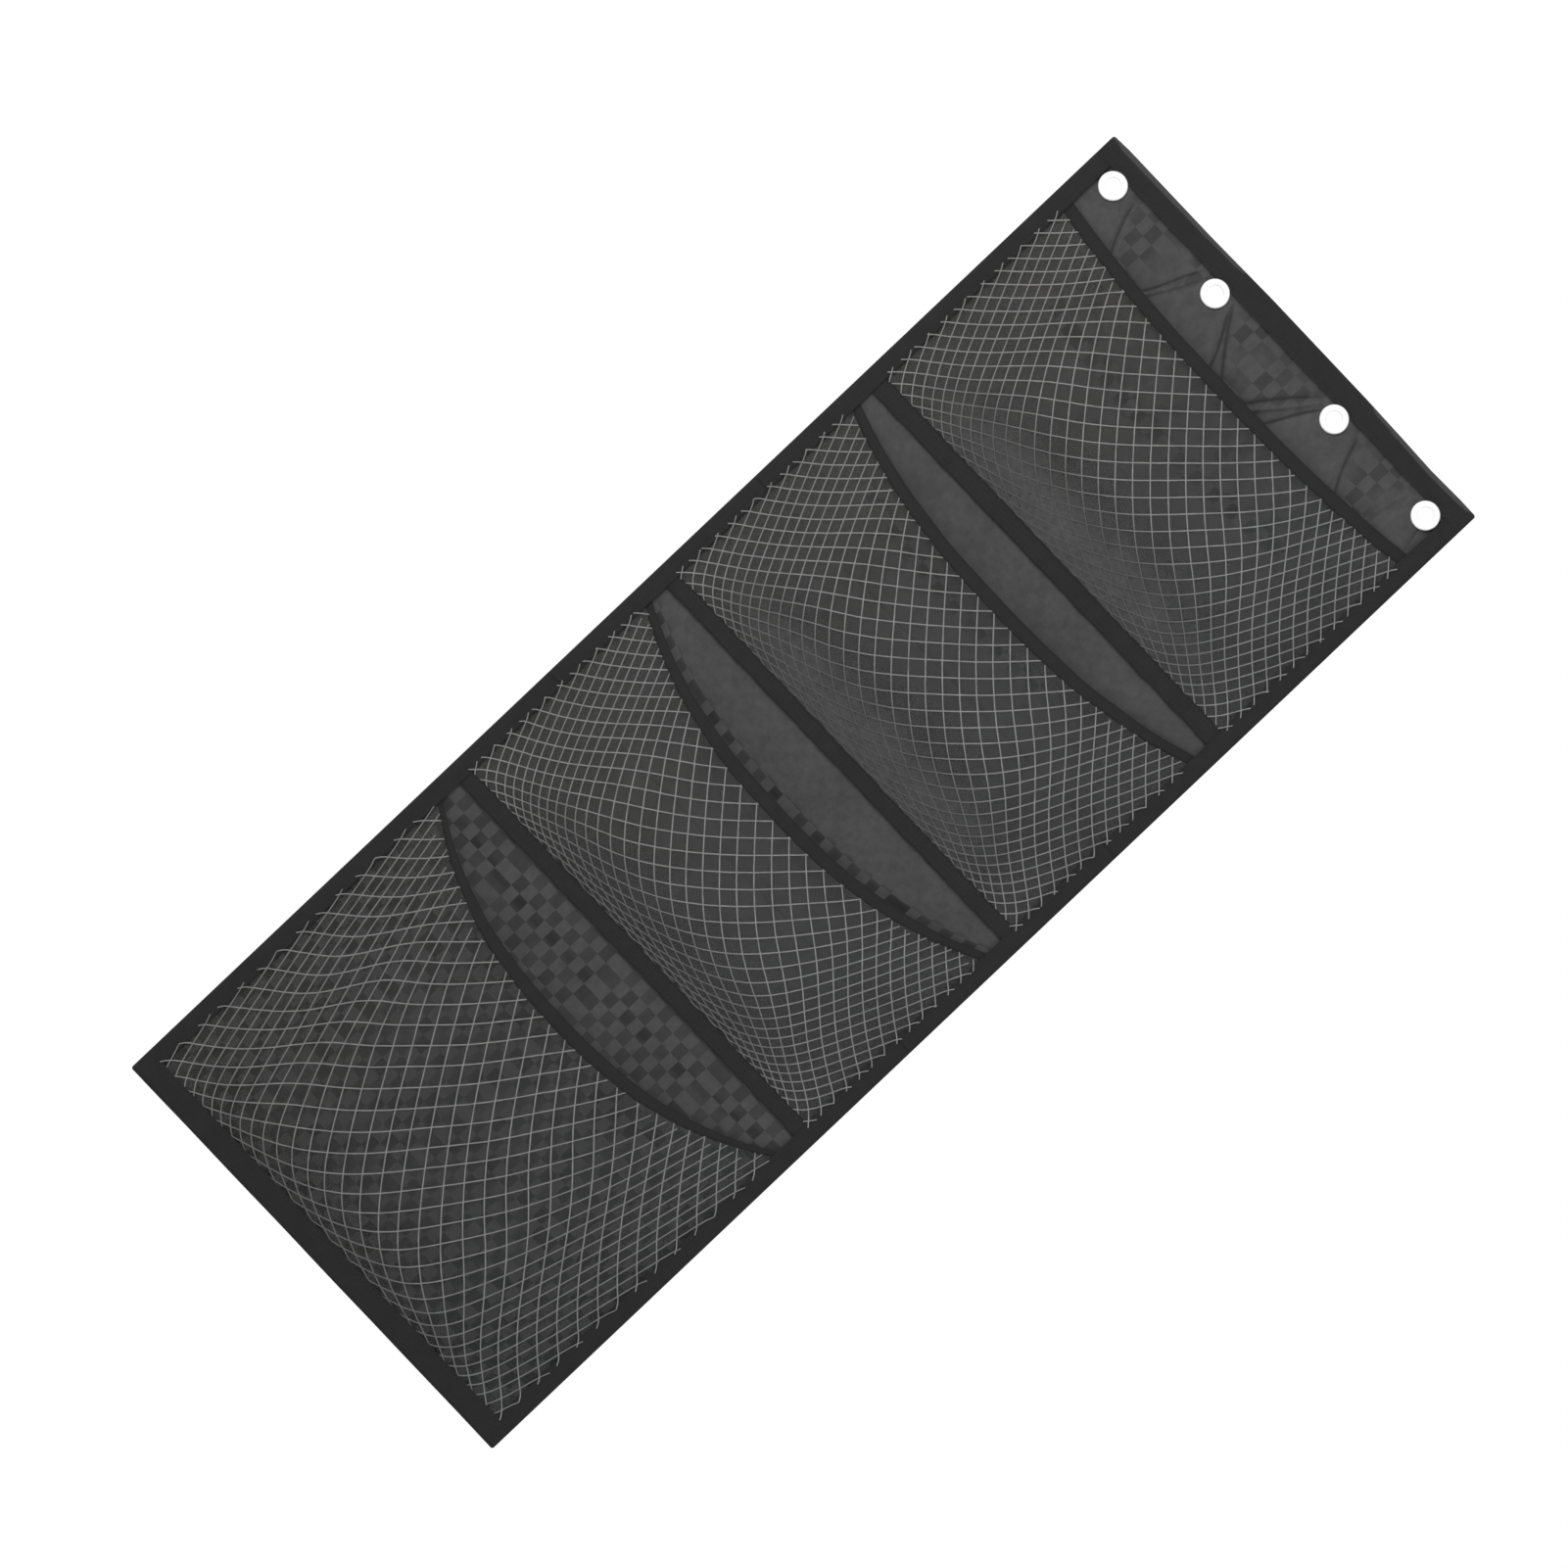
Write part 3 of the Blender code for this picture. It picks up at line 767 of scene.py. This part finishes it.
def end_band(name, outer, inner, materials):
    """The band folded round the top or bottom edge, with its corners rounded over."""
    build = Build()
    width, way = abs(inner - outer), math.copysign(1.0, inner - outer)
    depth = BAND_DEPTH + 0.25 * MM
    near = np.arange(3.6, 0.3, -0.35) * MM + depth / 2
    stops = np.concatenate((np.linspace(width, near[0], 9)[:-1], near, (depth / 2,)))
    ring, arc = folded_profile(stops, depth, TAPE_THICK, 11)
    corner_x = np.linspace(HALF - 4 * MM, HALF, 8)[1:]
    across = np.concatenate((-corner_x[::-1], np.linspace(-HALF + 4 * MM, HALF - 4 * MM, 190), corner_x))
    x, a, f = along_ring(across, ring)
    from_end = np.clip((HALF - np.abs(x)) / (1.6 * MM), 0.0, 1.0)
    corner = 1.0 - np.sqrt(1.0 - (1.0 - from_end) ** 2)
    f = depth / 2 + (f - depth / 2) * (1.0 - 0.55 * corner)
    top = way < 0
    front = f > depth / 2
    pinch = groove(a - (width - BAND_STITCH), 1.1 * MM, 0.25 * MM)
    f = f + np.where(front, -pinch, pinch)
    outline = top_outline(x) if top else 0.25 * MM * waves(x, x * 0.0, 62 * MM, 2.0)
    inner_edge = 0.30 * MM * waves(x, x * 0.0, 31 * MM, 7.0) * smooth((a - 8 * MM) / (4 * MM))
    z = outer + way * (a + corner * 1.2 * MM * (1.0 - a / width))
    z = z + outline * (1.0 - smooth(a / (7 * MM))) + inner_edge
    pale = x * 0.0
    if top:
        # the back layer where it shows above the front: stepped back a little, and given a painted sheen
        behind = smooth((second_layer(x) + depth * 0.3 - a) / (0.35 * MM)) * (second_layer(x) > 0.2 * MM)
        pale = behind * front
        f = f - 0.9 * MM * pale * smooth(a / (0.6 * MM))
        f = f - front * pressed(x, z)
    # painted shade along the band's outer turn, except on the back layer's painted sheen
    edge = (1.0 - smooth(a / (0.7 * MM))) * (1.0 - pale)
    rings = np.stack((x, -f, z), -1)
    if not top:
        rings, edge, pale = rings[:, ::-1], edge[:, ::-1], pale[:, ::-1]
    ring_loft(build, rings, arc, across, edge=edge, pale=pale)
    inside = np.linspace(-HALF + 3 * MM, HALF - 3 * MM, 200)
    line = inside * 0.0 + outer + way * (width - BAND_STITCH)
    front_f = depth - STITCH_SINK - pressed(inside, line) * top
    for forward, outward in ((front_f, FRONT), (inside * 0.0 + STITCH_SINK, REAR)):
        stitches(build, np.stack((inside, -forward, line), -1), outward)
    return build.object(name, materials)


def seam_tape(number, materials):
    """The flat tape over a pocket's base seam, its edges a little wavy, stitched along both."""
    build = Build()
    low, high = TAPES[number - 1]
    low = low - 0.1 * MM
    middle, half_width = (low + high) / 2, (high - low) / 2
    across = np.linspace(-INNER - 1.2 * MM, INNER + 1.2 * MM, 130)
    squared, raised, x = flat_tube(across, 0.35, 0.75)
    wander = 0.45 * MM * waves(x, x * 0.0 + np.sign(squared), 13 * MM, 3.0 + number) * np.abs(squared)
    z = middle - half_width * squared + wander
    tuck = 0.75 * MM * (1.0 - smooth((INNER + 0.6 * MM - np.abs(x)) / (2.5 * MM)))
    f = NET_FRONT_F + 0.75 * MM + 0.48 * MM * raised - tuck
    pinch = groove(np.abs(squared) * half_width - (half_width - TAPE_STITCH), 0.9 * MM, 0.2 * MM)
    f = f - np.where(raised > 0, pinch, 0.0)
    arc = np.linspace(0.0, 4 * half_width, len(squared) + 1)
    # painted shade along the tape's two edges
    edge = np.broadcast_to(smooth((np.abs(squared) - 0.93) / 0.07)[None, :], x.shape) * 0.7
    ring_loft(build, np.stack((x, -f, z), -1), arc, across, edge=edge)
    for line in (middle + half_width - TAPE_STITCH, middle - half_width + TAPE_STITCH):
        inside = across[2:-2]
        path = np.stack((inside, inside * 0.0 - (NET_FRONT_F + 1.08 * MM), inside * 0.0 + line), -1)
        stitches(build, path, FRONT)
    return build.object(f"seam_tape_cloth_{number}", materials)


def rim_tape(pocket, materials):
    """The tape folded over the net along a pocket's mouth, flattened where its ends are sewn in."""
    build = Build()
    reach = INNER + 1.3 * MM
    across = np.linspace(-reach, reach, 150)
    squared, raised, x = flat_tube(across, 0.4, 0.7)
    half_width = pocket.rim_width(x) / 2
    wander = 0.25 * MM * waves(x, x * 0.0, 27 * MM, 20.0 + pocket.number)
    z = pocket.rim_z(x) - half_width - half_width * squared + wander
    flat = smooth((INNER - np.abs(x)) / (9 * MM))
    half_thick = (0.42 + 0.53 * flat) * MM
    centre = pocket.forward(x, np.minimum(z, pocket.rim_z(x) - 1 * MM)) - (0.25 - 0.30 * flat) * MM
    f = centre + half_thick * raised
    arc = np.linspace(0.0, 2 * RIM_WIDTH, len(squared) + 1)
    # painted shade along the rim tape's edges
    edge = np.broadcast_to(smooth((np.abs(squared) - 0.9) / 0.1)[None, :], x.shape) * 0.55
    ring_loft(build, np.stack((x, -f, z), -1), arc, across, edge=edge)
    inside = across[4:-4]
    line = pocket.rim_z(inside) - pocket.rim_width(inside) * 0.78
    forward = pocket.forward(inside, line) + 0.78 * MM
    stitches(build, np.stack((inside, -forward, line), -1), FRONT)
    return build.object(f"mouth_tape_{pocket.number}", materials)


# -------- nets


def net_sheet(pocket, materials):
    """The net's fine ground: a thin bulging sheet from under the rim to under the base seam."""
    build = Build()
    across = np.linspace(-CLOTH_HALF, CLOTH_HALF, 131)
    share = np.linspace(0.0, 1.0, 81)
    x = np.broadcast_to(across[None, :], (len(share), len(across)))
    rim = pocket.rim_z(np.clip(x, -INNER, INNER)) - 1.2 * MM
    lowest = pocket.base - 3.5 * MM
    z = rim + (lowest - rim) * share[:, None]
    relief = 0.45 * MM * waves(x, z, 24 * MM, 30.0 + pocket.number)
    relief = relief * smooth((INNER - np.abs(x)) / (14 * MM)) * smooth((z - pocket.base) / (14 * MM))
    relief = relief * smooth((rim - z - pocket.rim_width(x)) / (8 * MM))
    front = pocket.forward(np.clip(x, -INNER, INNER), z) + relief
    haze = dullness(pocket, x, z + 8 * MM) * (0.85 if pocket.number < 3 else 0.25)
    sheet_between(build, x, z, front, front - NET_THICK, haze=haze)
    return build.object(f"net_ground_{pocket.number}", materials)


# Each net's pattern: rate of woven depth in the middle and at the sides, rise of its rows at the sides,
# extra depth gathered at the base and how suddenly, phase, and where painted shade dims the threads and how
# much
NET_PATTERNS = (
    (1.00, 1.16, 20, 37, 9, 5.6, (-108, -152, 0.97)),
    (1.04, 1.20, 32, 50, 9, 7.6, (-278, -322, 0.97)),
    (1.03, 1.24, 42, 60, 9, 9.8, (-460, -492, 0.75)),
    (0.76, 0.74, 56, 27, 20, 11.1, (-722, -748, 0.60)),
)
PLAIN_WIDTH = 55 * MM  # past this far from the middle, the net is gathered sideways
GATHER_RUN = 50 * MM
GATHER = 0.70
SPREAD = 1.0  # per metre: the net is gathered less towards its base


def woven_width(pocket, x, z):
    """Distance across the net, in the cloth's own measure: the net is gathered towards its sides."""
    share = np.clip((np.abs(x) - PLAIN_WIDTH) / GATHER_RUN, 0.0, 1.0)
    eased = GATHER_RUN * (share**3 - share**4 / 2)
    beyond = np.maximum(0.0, np.abs(x) - PLAIN_WIDTH - GATHER_RUN)
    return np.sign(x) * (np.abs(x) + GATHER * (eased + beyond)) * (1.0 - SPREAD * (pocket.half_way - z))


def woven_depth(pocket, x, z):
    """Distance down the net, in the cloth's own measure: its rows rise at the sides and crowd at the base."""
    middle_rate, side_rate, rise, extra, power = NET_PATTERNS[pocket.number - 1][:5]
    aside = np.abs(x / INNER)
    depth = pocket.lowest - z
    share = np.maximum(0.0, depth) / (pocket.lowest - pocket.base)
    rate = middle_rate + (side_rate - middle_rate) * aside**2
    crowded = extra * MM * (1.0 - aside**3) * share**power
    return rate * depth + rise * MM * aside**SAG_POWER + crowded + pulled(pocket, x, z)


def pulled(pocket, x, z):
    """How far the net's pattern is pulled out of true, most at the left of the lowest pocket."""
    n = pocket.number
    small = 0.6 * MM * np.sin(x / (23 * MM) + 1.7 * n + z / (41 * MM)) * np.sin(z / (19 * MM) + n)
    if n < 4:
        return small
    inside = np.exp(-(((x + 98 * MM) / (36 * MM)) ** 2) - (((z + 628 * MM) / (60 * MM)) ** 2))
    return small + 3.2 * MM * inside * np.sin((x + 104 * MM) / (9 * MM))


def thread_path(pocket, slope, count):
    """Points (x, z) of one thread, from side to side, where woven depth and width add up to count steps."""
    reach = INNER + THREAD_TAIL
    xs = np.linspace(-reach, reach, 161)
    zs = np.linspace(pocket.end + 2 * MM, pocket.base - 4 * MM, 220)
    wanted = count * THREAD_STEP + NET_PATTERNS[pocket.number - 1][5] * MM
    found = np.full(len(xs), np.nan)
    for i, x in enumerate(xs):
        inside = np.full(len(zs), min(max(x, -INNER), INNER))
        across = woven_width(pocket, inside, zs) + 1.5 * (x - inside)
        total = woven_depth(pocket, inside, zs) + slope * across
        if total[0] < wanted < total[-1]:
            found[i] = np.interp(wanted, total, zs)
    return xs, found


def net_threads(pocket, materials):
    """The net's thick pale threads, crossing on the bias, with their ends caught on the side bands."""
    build = Build()
    corner = np.array([INNER])
    deepest = woven_depth(pocket, corner, pocket.base) + woven_width(pocket, corner, pocket.base)
    most = int(deepest[0] / THREAD_STEP) + 3
    for slope in (-1, 1):
        for count in range(-most, most):
            xs, zs = thread_path(pocket, slope, count)
            inside = np.clip(xs, -INNER, INNER)
            tucked = np.where(np.abs(xs) > INNER - 2 * MM, -1.5, 1.2) * MM
            top = pocket.rim_z(inside) - pocket.rim_width(inside) + tucked
            shown = ~np.isnan(zs) & (zs < top) & (zs > pocket.base - 2.5 * MM)
            for run in np.split(np.arange(len(xs)), np.where(np.diff(shown))[0] + 1):
                if len(run) > 2 and shown[run[0]]:
                    add_thread(build, pocket, xs[run], zs[run], slope)
    return build.object(f"net_threads_{pocket.number}", materials)


def add_thread(build, pocket, xs, zs, slope):
    """One thread as a thin tube over the net, rising over the side bands at its ends."""
    forward = pocket.forward(np.clip(xs, -INNER, INNER), zs) + 0.30 * MM
    over_band = BAND_DEPTH + 0.36 * MM
    lifted = smooth((np.abs(xs) - (INNER - 5 * MM)) / (4 * MM))
    forward = np.maximum(forward, over_band * lifted)
    bobble = 0.12 * MM * waves(xs, zs, 6 * MM, 40.0 + slope)
    centre = np.stack((xs, -forward, zs + bobble), -1)
    tangent = np.gradient(centre, axis=0)
    tangent = tangent / np.linalg.norm(tangent, axis=1)[:, None]
    out = FRONT - tangent * (tangent @ FRONT)[:, None]
    out = out / np.linalg.norm(out, axis=1)[:, None]
    side = np.cross(tangent, out)
    radius = THREAD_RADIUS * (1.0 + 0.12 * waves(xs, zs, 3 * MM, 50.0))
    sections = [math.cos(angle) * side + math.sin(angle) * out * 0.8 for angle in AROUND]
    grid = np.stack([centre + radius[:, None] * section for section in sections], 1)
    uv = np.stack(np.broadcast_arrays(travel(centre)[:, None], AROUND[None, :] * THREAD_RADIUS), -1)
    steep = smooth((np.abs(np.gradient(zs, xs)) - 1.2) / 1.4)
    # painted shade near the base, and dimming of the steep threads
    fade = np.maximum(dullness(pocket, xs, zs), 0.36 * steep)
    build.grid(grid, uv, fade=np.broadcast_to(fade[:, None], grid.shape[:2]))


def dullness(pocket, x, z):
    """How strongly the middle of a net's base is dimmed: painted shade on its threads, and a haze on its
    ground.
    """
    start, end, most = NET_PATTERNS[pocket.number - 1][6]
    low = smooth((start * MM - z) / ((start - end) * MM))
    return most * low * (1.0 - np.clip(np.abs(x) / (132 * MM), 0.0, 1.0) ** 3)


# -------- eyelets


def turned(name, outline, x, materials):
    """A ring turned about an eyelet's axis from a closed outline in mm."""
    build = Build()
    ring = np.array(outline + outline[:1]) * MM + (0.0, EYELET_LIFT)
    radius, forward = ring[None, :, 0], ring[None, :, 1]
    turn = np.linspace(0.0, 2.0 * math.pi, 73)[:, None]
    points = np.stack(np.broadcast_arrays(x + radius * np.cos(turn), -forward, radius * np.sin(turn)), -1)
    uv = np.stack(np.broadcast_arrays(turn * FLANGE, travel(ring)[None, :]), -1)
    build.grid(points, uv, flip=True)
    return build.object(name, materials)


def rounded(points, steps=5):
    """A closed outline with its corners cut into smooth turns."""
    made = []
    count = len(points)
    for i in range(count):
        before, here, after = (np.array(points[j % count]) for j in (i - 1, i, i + 1))
        start, end = here + (before - here) * 0.38, here + (after - here) * 0.38
        for t in np.linspace(0.0, 1.0, steps):
            made.append(tuple((1 - t) ** 2 * start + 2 * t * (1 - t) * here + t * t * end))
    return made


# Outlines of an eyelet and its washer, as (radius, distance forward of the lifted cloth) in mm
EYELET_OUTLINE = (
    (4.8, 0.0), (6.7, 0.0), (6.7, 0.35), (5.4, 0.45), (5.4, 2.5), (8.3, 2.55),
    (8.75, 2.9), (8.6, 3.9), (7.6, 4.75), (6.2, 4.85), (5.0, 4.1), (4.8, 3.0),
)
WASHER_OUTLINE = ((5.6, 0.55), (8.4, 0.55), (8.4, 0.95), (5.6, 0.95))


def eyelet(number, x, materials):
    """An eyelet's domed flange and barrel, and the washer behind."""
    front = turned(f"eyelet_ring_{number}", rounded(EYELET_OUTLINE), x, materials)
    back = turned(f"eyelet_back_ring_{number}", rounded(WASHER_OUTLINE, 3), x, materials)
    for piece, node in ((front, f"eyelet_{number}"), (back, f"eyelet_washer_{number}")):
        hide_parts(node)
        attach(piece, "section_1")


# -------- assembly


def bend(piece, fold):
    """Bakes a piece's placement into its mesh."""
    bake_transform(piece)


def follow_mouth(piece, pocket):
    """Bakes a piece's placement into its mesh and works out its points' shares of the rim's pull, which are
    not used.
    """
    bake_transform(piece)
    places = np.empty((len(piece.data.vertices), 3))
    piece.data.vertices.foreach_get("co", places.ravel())
    weights = pocket.pull(places[:, 0], places[:, 2]).astype(np.float32)


def make_back(looks):
    """The cloth and side bands in three stretches, one over each fold, joined where the cloth lies flat."""
    cuts = [(FOLDS[0] + FOLDS[1]) / 2, (FOLDS[1] + FOLDS[2]) / 2]
    cloth_ends = [TOP - 1.3 * MM, *cuts, BOTTOM + 1.3 * MM]
    band_ends = [TOP_BAND_LOW + 1.5 * MM, *cuts, BOTTOM_BAND_HIGH - 1.5 * MM]
    names = ("upper", "middle", "lower")
    nodes = (("1",), ("2", "3"), ("4",))
    band_looks = [looks["binding"], looks["stitch"]]
    cloths = []
    for fold, name in enumerate(names):
        cloth = back_cloth(f"back_cloth_{name}", cloth_ends[fold], cloth_ends[fold + 1], [looks["cloth"]])
        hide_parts(*(f"back_panel_{n}" for n in nodes[fold]))
        bend(cloth, fold)
        bands = []
        for side, word in ((-1.0, "left"), (1.0, "right")):
            band = side_band(f"{word}_band_{name}", side, band_ends[fold], band_ends[fold + 1], band_looks)
            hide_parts(*(f"{word}_binding_{n}" for n in nodes[fold]))
            bend(band, fold)
            bands.append(band)
        tape = seam_tape(fold + 1, [looks["tape"], looks["stitch"]])
        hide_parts(f"seam_tape_{fold + 1}")
        bend(tape, fold)
        cloths.append((cloth, cloth_ends[fold] - cloth_ends[fold + 1], bands + [tape]))
    return cloths


def make_pocket(pocket, looks):
    """A pocket's net, threads and mouth tape."""
    n = pocket.number
    ground = net_sheet(pocket, [looks["net"]])
    threads = net_threads(pocket, [looks["cord"]])
    rim = rim_tape(pocket, [looks["rim"], looks["stitch"]])
    for piece, slot in ((ground, "pocket_net"), (threads, "pocket_net"), (rim, "rim_tape")):
        follow_mouth(piece, pocket)
    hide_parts(f"pocket_net_{n}")
    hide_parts(f"pocket_rim_{n}")


# -------- surroundings


def light_sky(tree):
    """A white surround that looks full white but lights cloth more softly, so that its relief shows."""
    background = tree.nodes["Background"]
    background.inputs["Color"].default_value = grey(1.0)
    rays = tree.nodes.new("ShaderNodeLightPath").outputs
    seen = tree.nodes.new("ShaderNodeMath")
    seen.operation = "MAXIMUM"
    tree.links.new(rays["Is Camera Ray"], seen.inputs[0])
    tree.links.new(rays["Is Glossy Ray"], seen.inputs[1])
    strength = tree.nodes.new("ShaderNodeMapRange")
    strength.inputs["To Min"].default_value = SKY_LIGHT
    tree.links.new(seen.outputs[0], strength.inputs["Value"])
    tree.links.new(strength.outputs["Result"], background.inputs["Strength"])


def stage():
    """Pale floor under the hanging panel, white surroundings and two soft lights."""
    bpy.ops.mesh.primitive_plane_add(size=FLOOR_SIZE, location=(0.0, 0.0, BOTTOM - FLOOR_DROP))
    floor = bpy.context.object
    floor.name = "floor"
    floor.data.materials.append(floor_material())
    world = bpy.data.worlds.new("studio")
    world.use_nodes = True
    light_sky(world.node_tree)
    bpy.context.scene.world = world
    middle = Vector((0.0, 0.0, (TOP + BOTTOM) / 2))
    for name, offset, size, power in LIGHTS:
        light = bpy.data.lights.new(name, "AREA")
        light.size = size
        light.energy = power
        lamp = placed(name, light)
        lamp.location = middle + Vector(offset)
        lamp.rotation_euler = (-Vector(offset)).to_track_quat("-Z", "Y").to_euler()


def camera():
    """Looks square at the front, with the panel's top turned to the upper right."""
    tilt = math.radians(CAMERA_TILT)
    right = Vector((math.cos(tilt), 0.0, math.sin(tilt)))
    up = Vector((-math.sin(tilt), 0.0, math.cos(tilt)))
    data = bpy.data.cameras.new("camera")
    data.type = "ORTHO"
    data.ortho_scale = CAMERA_SPAN * (TOP - BOTTOM)
    cam = placed("camera", data)
    middle = Vector((CAMERA_ASIDE, -CAMERA_AWAY, (TOP + BOTTOM) / 2 + CAMERA_RISE))
    turn = Matrix((right, up, Vector(FRONT))).transposed()
    cam.matrix_world = Matrix.Translation(middle) @ turn.to_4x4()
    bpy.context.scene.camera = cam


def main():
    bpy.context.scene.view_settings.view_transform = "Standard"
    looks = {
        "cloth": cloth_material(),
        "binding": tape_material("binding_tape", BINDING_TONE),
        "tape": tape_material("seam_tape_weave", SEAM_TONE),
        "rim": tape_material("mouth_tape_weave", RIM_TONE),
        "stitch": stitch_material(),
        "net": net_material(),
        "cord": cord_material(),
        "eyelet": eyelet_material(),
    }
    cloths = make_back(looks)
    for word, outer, inner, section, stretch in (
        ("top", TOP, TOP_BAND_LOW, 1, 0),
        ("bottom", BOTTOM, BOTTOM_BAND_HIGH, 4, 2),
    ):
        band = end_band(f"{word}_band", outer, inner, [looks["binding"], looks["stitch"]])
        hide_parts(f"{word}_binding")
        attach(band, f"section_{section}")
        cloths[stretch][2].append(band)
    for k, x in enumerate(EYELETS_X, 1):
        eyelet(k, x, [looks["eyelet"]])
    for number in (1, 2, 3, 4):
        make_pocket(Pocket(number), looks)
    stage()
    camera()


main()
